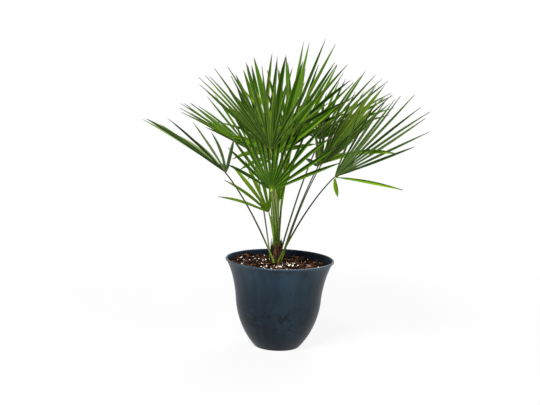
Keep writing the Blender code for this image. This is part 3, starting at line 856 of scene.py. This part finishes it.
def stalkMaterial(kind):
    look = stalkLooks[kind]
    finish = stalkFinish
    recipe = Recipe("stalk_" + kind)
    length = recipe.add("ShaderNodeUVMap", {"uv_map": "length"})
    across, along = recipe.parts(length)[:2]
    blotches = recipe.noise(recipe.place(), finish["blotchScale"], 3, 0.6)
    lines = recipe.noise(recipe.stretched(length, finish["lineStretch"]), 1, 3)
    rise = (along + (blotches - 0.5) * 0.12).between(0.04, 0.30)
    colour = recipe.mixed(rise, look["low"], look["middle"])
    colour = recipe.mixed((along + (blotches - 0.5) * 0.2).between(0.55, 0.95), colour, look["high"])
    flecks = (lines * 0.65 + blotches * 0.35).between(0.50, 0.68)
    colour = recipe.mixed(flecks * finish["flecks"], colour, look["fleck"])
    if "stripe" in look:
        # a dry pale rib up the side that faces out, with a dark line beside it, painted shade of a groove
        off = across - finish["stripeAt"]
        groove = (1 - (off - finish["grooveAt"]).size().between(0.02, 0.05)) * along.between(0.08, 0.2)
        colour = recipe.mixed(groove * finish["groove"], colour, look["fleck"])
        stripe = (1 - off.size().between(0.025, 0.045)) * along.between(0.10, 0.30)
        colour = recipe.mixed(stripe * finish["stripe"], colour, look["stripe"])
    return recipe.finish({
        "Base Color": colour, "Roughness": 0.42 + blotches * 0.15, "Specular IOR Level": 0.20,
        "Normal": recipe.bump(lines, 0.35, 0.0006),
    })


def stalkSeat(leaf):
    # where the stalk starts on the crown, which way that faces, and the size of its foot
    place, turn = leaf["seat"]
    turn = math.radians(turn)
    outward = Vector((math.cos(turn), math.sin(turn), 0))
    if place == "side":
        size = stalkShape["sideSize"]
        seat = crownAxis + outward * (crownRadius + stalkShape["sideGap"] + size[1] / 2)
        seat.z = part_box("stalk_" + leaf["name"])[0].z
    else:
        size = stalkShape["topSize"]
        seat = crownAxis + outward * (stalkShape["topRing"] if place == "top" else 0)
        seat.z = crownHigh.z
    return seat, outward, size


def makeStalk(leaf, material):
    shape = stalkShape
    seat, outward, baseSize = stalkSeat(leaf)
    hub = hubOf(leaf)
    span = hub - seat
    bow = up * (span.length * shape["bow"])
    route = bezier(seat, seat + span / 3 + bow, seat + span * (2 / 3) + bow, hub, shape["rows"])
    route[0] = route[0] - up * shape["sunk"]
    route.append(hub + bladeAxes(leaf)[0] * leafShape["hubArc"] * shape["intoBlade"])
    wideWay = outward.cross(up)
    name = leaf["name"]
    wide = shape["sideWide"] if leaf["seat"][0] == "side" else shape["wide"].get(name, 1)
    builder = bmesh.new()
    uv = builder.loops.layers.uv.new("length")
    rings = []
    last = len(route) - 1
    for row, centre in enumerate(route):
        share = min(1, row / shape["rows"])
        sheath = 1 + shape["sheathGrowth"] * (1 - smoothStep(0, shape["sheathLength"], share))
        width, thick = (a + (b - a) * share for a, b in zip(baseSize, shape["hubSize"]))
        width *= sheath * wide
        if row == last:
            width, thick = width * shape["endScale"][0], thick * shape["endScale"][1]
        tangent = (route[min(row + 1, last)] - route[max(row - 1, 0)]).normalized()
        across = (wideWay - tangent * wideWay.dot(tangent)).normalized()
        face = tangent.cross(across)
        ring = []
        for i in range(shape["sides"]):
            turn = 2 * math.pi * i / shape["sides"]
            x, y = math.cos(turn), math.sin(turn)
            if y < 0:
                y *= 1 - shape["hollow"] * (1 - abs(x))  # the side that faces the crown is flatter
            ring.append(centre + across * (width / 2 * x) + face * (thick / 2 * y))
        rings.append(ring)
    faces = skinRings(builder, rings)
    sides = shape["sides"]
    for number, face in enumerate(faces[:-2]):
        row, i = divmod(number, sides)
        corners = ((i, row), (i + 1, row), (i + 1, row + 1), (i, row + 1))
        for loop, (a, b) in zip(face.loops, corners):
            loop[uv].uv = (a / sides, b / last)
    bmesh.ops.recalc_face_normals(builder, faces=builder.faces)
    addPiece("stem_" + name, builder, [material], 50, ["stalk_" + name])


crownLook = {
    "rings": 14, "sides": 30, "narrowing": 0.16, "groove": 0.0016, "grooves": 2.5, "coreTone": 0.3,
    "lean": 0.0008, "leanWaves": 160,
    "flaps": 16, "flapWidth": (28, 70), "flapHeight": (0.028, 0.062), "flapThin": 0.0006,
    "flapBase": 0.016, "flapOff": (0.0002, 0.0030), "flapFlare": 0.0025, "flapTear": 0.25,
    "flapColumns": 12, "flapRows": 8,
    "strands": 260, "strandSize": 0.00050, "strandWind": 0.9, "strandBase": 0.030,
    "strandHeight": (0.015, 0.050), "strandOff": 0.0040, "strandLoose": 0.004, "strandSteps": 6,
    "strandThick": (0.6, 1.3), "strandTaper": 0.75, "strandCorners": (0, 2.1, 4.2),
    "dark": (0.004, 0.0018, 0.0012), "brown": (0.032, 0.013, 0.007), "straw": (0.150, 0.078, 0.038),
    "threads": 900, "patches": 70, "seed": 7,
}


def fibreMaterial():
    look = crownLook
    recipe = Recipe("crownFibre")
    place = recipe.place()
    threads = recipe.noise(recipe.stretched(place, (1, 1, 0.18)), look["threads"], 3, 0.7)
    patches = recipe.noise(place, look["patches"], 2)
    tone = recipe.tag("tone")
    colour = recipe.colours((threads * 0.5 + patches * 0.25 + tone * 0.35).between(0.25, 0.85), [
        (0.0, look["dark"]), (0.5, look["brown"]), (1.0, look["straw"]),
    ])
    return recipe.finish({
        "Base Color": colour, "Roughness": 0.85 + threads * 0.1, "Specular IOR Level": 0.10,
        "Normal": recipe.bump(threads, 0.7, 0.001),
    })


def crownSpot(turn, height, radius):
    lean = crownLook["lean"] * math.sin(height * crownLook["leanWaves"] + turn * 2)
    reach = radius + lean
    return Vector((crownMiddle.x + reach * math.cos(turn), crownMiddle.y + reach * math.sin(turn), height))


def addCore(builder, tone):
    look = crownLook
    low, high = crownLow.z, crownHigh.z
    rings = []
    for row in range(look["rings"] + 1):
        share = row / look["rings"]
        radius = crownRadius * (1.0 - look["narrowing"] * share ** 3)
        level = low + (high - low) * share
        ring = []
        for i in range(look["sides"]):
            turn = 2 * math.pi * i / look["sides"]
            groove = look["groove"] * abs(math.sin(look["grooves"] * turn + share))
            ring.append(crownSpot(turn, level, radius - groove))
        rings.append(ring)
    for face in skinRings(builder, rings):
        face[tone] = look["coreTone"]


def addFlap(builder, tone, chance):
    # a thin sheet round a part of the crown, with a torn top edge
    look = crownLook
    start = chance.uniform(0, 2 * math.pi)
    width = math.radians(chance.uniform(*look["flapWidth"]))
    base = crownLow.z + chance.uniform(0.0, look["flapBase"])
    height = chance.uniform(*look["flapHeight"])
    radius = crownRadius + chance.uniform(*look["flapOff"])
    columns, rows = look["flapColumns"], look["flapRows"]
    tear = look["flapTear"]
    outer = {}
    shade = chance.random()
    for c in range(columns + 1):
        ragged = 0.50 + 0.50 * math.sin(math.pi * c / columns) + chance.uniform(-tear, tear)
        for r in range(rows + 1):
            rise = base + height * ragged * r / rows
            flare = look["flapFlare"] * (r / rows) ** 2
            turn = start + width * c / columns
            outer[c, r] = [
                builder.verts.new(crownSpot(turn, rise, radius + flare + side))
                for side in (0, -look["flapThin"])
            ]
    for c in range(columns):
        for r in range(rows):
            ring = [outer[c, r], outer[c + 1, r], outer[c + 1, r + 1], outer[c, r + 1]]
            builder.faces.new([pair[0] for pair in ring])[tone] = shade
            builder.faces.new([pair[1] for pair in reversed(ring)])[tone] = shade
    border = [(c, 0) for c in range(columns)] + [(columns, r) for r in range(rows)]
    border += [(c, rows) for c in range(columns, 0, -1)] + [(0, r) for r in range(rows, 0, -1)]
    for a, b in zip(border, border[1:] + border[:1]):
        builder.faces.new([outer[b][0], outer[a][0], outer[a][1], outer[b][1]])[tone] = shade


def addStrand(builder, tone, chance):
    look = crownLook
    start = chance.uniform(0, 2 * math.pi)
    wind = chance.uniform(-look["strandWind"], look["strandWind"])
    base = crownLow.z + chance.uniform(0.0, look["strandBase"])
    height = chance.uniform(*look["strandHeight"])
    radius = crownRadius + chance.uniform(0.0, look["strandOff"])
    thick = look["strandSize"] * chance.uniform(*look["strandThick"])
    shade = chance.random()
    loose = chance.uniform(0.0, look["strandLoose"])
    rings = []
    for step in range(look["strandSteps"] + 1):
        share = step / look["strandSteps"]
        spot = crownSpot(start + wind * share, base + height * share, radius + loose * share * share)
        size = thick * (1 - look["strandTaper"] * share)
        rings.append([
            spot + Vector((math.cos(turn), math.sin(turn), 0)) * size for turn in look["strandCorners"]
        ])
    for face in skinRings(builder, rings):
        face[tone] = shade


def makeCrown():
    # a core of leaf bases, bound in torn sheets of fibre and single strands
    chance = random.Random(crownLook["seed"])
    builder = bmesh.new()
    tone = builder.faces.layers.float.new("tone")
    addCore(builder, tone)
    for _ in range(crownLook["flaps"]):
        addFlap(builder, tone, chance)
    for _ in range(crownLook["strands"]):
        addStrand(builder, tone, chance)
    bmesh.ops.recalc_face_normals(builder, faces=builder.faces)
    addPiece("crownFibre", builder, [fibreMaterial()], 60, ["crown"])


makePot()
makeMix()
makeMixTop()
print("planter and mix made")
makeCrown()
stalkMaterials = {kind: stalkMaterial(kind) for kind in stalkLooks}
leafMaterials = {name: leafMaterial(name) for name in leafLooks}
for leaf in leaves:
    look = leaf.get("look", "leaf")
    makeStalk(leaf, stalkMaterials[leaf["stalk"]])
    skins = [look + "Top", look + "Under"]
    if "limp" in leaf:
        skins += ["freshTop", "freshUnder"]  # for its limp fingers
    makeBlade(leaf, [leafMaterials[name] for name in skins])
print("crown, stalks and leaves made")


studio = {
    "floorSize": 14, "floorColour": (0.48, 0.48, 0.48), "floorGlow": 0.88, "glowReach": (0.35, 1.6),
    "worldLight": 0.05, "lamps": {
        "key": {"place": (-0.9, -2.3, 2.9), "size": 1.0, "power": 235},
        "fill": {"place": (2.2, -1.6, 1.4), "size": 1.8, "power": 40},
        "rim": {"place": (0.6, 2.2, 2.4), "size": 1.4, "power": 90},
    },
}
shot = {"place": (-0.0335, -3.0, 0.8365), "pitch": -8.08, "roll": 2.05, "lens": 71.87, "sensor": 36}


def seenDirectly(recipe):
    # 1 for the camera and for what shows in a glossy surface, 0 for the light that falls on the plant
    rays = [recipe.add("ShaderNodeLightPath", out=ray) for ray in ("Is Camera Ray", "Is Glossy Ray")]
    rays.append(recipe.add("ShaderNodeLightPath", out="Is Transmission Ray"))
    return rays[0].most(rays[1]).most(rays[2])


def makeFloor():
    half = studio["floorSize"] / 2
    builder = bmesh.new()
    bmesh.ops.create_grid(builder, x_segments=2, y_segments=2, size=half)
    mesh = bpy.data.meshes.new("floor")
    builder.to_mesh(mesh)
    builder.free()
    floor = bpy.data.objects.new("floor", mesh)
    bpy.context.scene.collection.objects.link(floor)
    recipe = Recipe("paleFloor")
    recipe.finish({"Base Color": studio["floorColour"], "Roughness": 0.9, "Specular IOR Level": 0.1})
    seen = seenDirectly(recipe)
    far = recipe.add("ShaderNodeVectorMath", {"operation": "LENGTH"}, {0: recipe.place()}, "Value")
    share = far.between(*studio["glowReach"]) * (1 - studio["floorGlow"]) + studio["floorGlow"]
    glow = recipe.add("ShaderNodeEmission", None, {"Color": (1, 1, 1), "Strength": 1.0})
    shown = recipe.add("ShaderNodeMixShader", None, {
        0: seen * share, 1: Signal(recipe, recipe.shader.outputs[0]), 2: glow,
    })
    recipe.plug(recipe.tree.nodes["Material Output"].inputs["Surface"], shown)
    mesh.materials.append(recipe.material)


def makeWorld():
    world = bpy.data.worlds.new("studio")
    bpy.context.scene.world = world
    recipe = Recipe("studio", world)
    strength = seenDirectly(recipe) * (1 - studio["worldLight"]) + studio["worldLight"]
    background = recipe.tree.nodes["Background"]
    recipe.plug(background.inputs["Color"], (1, 1, 1))
    recipe.plug(background.inputs["Strength"], strength)


def makeLamp(name, look):
    lamp = bpy.data.lights.new(name, "AREA")
    lamp.size = look["size"]
    lamp.energy = look["power"]
    item = bpy.data.objects.new(name, lamp)
    place = Vector(look["place"])
    item.location = place
    aim = (cadBox[0] + cadBox[1]) / 2
    item.rotation_mode = "QUATERNION"
    item.rotation_quaternion = (aim - place).to_track_quat("-Z", "Y")
    bpy.context.scene.collection.objects.link(item)


def makeCamera():
    lens = bpy.data.cameras.new("camera")
    lens.lens = shot["lens"]
    lens.sensor_width = shot["sensor"]
    camera = bpy.data.objects.new("camera", lens)
    place = Matrix.Translation(shot["place"])
    tilt = Matrix.Rotation(math.radians(90 + shot["pitch"]), 4, "X")
    roll = Matrix.Rotation(math.radians(shot["roll"]), 4, "Z")
    camera.matrix_world = place @ tilt @ roll
    bpy.context.scene.collection.objects.link(camera)
    bpy.context.scene.camera = camera


makeFloor()
makeWorld()
for lampName, lampLook in studio["lamps"].items():
    makeLamp(lampName, lampLook)
makeCamera()
bpy.context.scene.view_settings.view_transform = "Standard"
print("studio made")
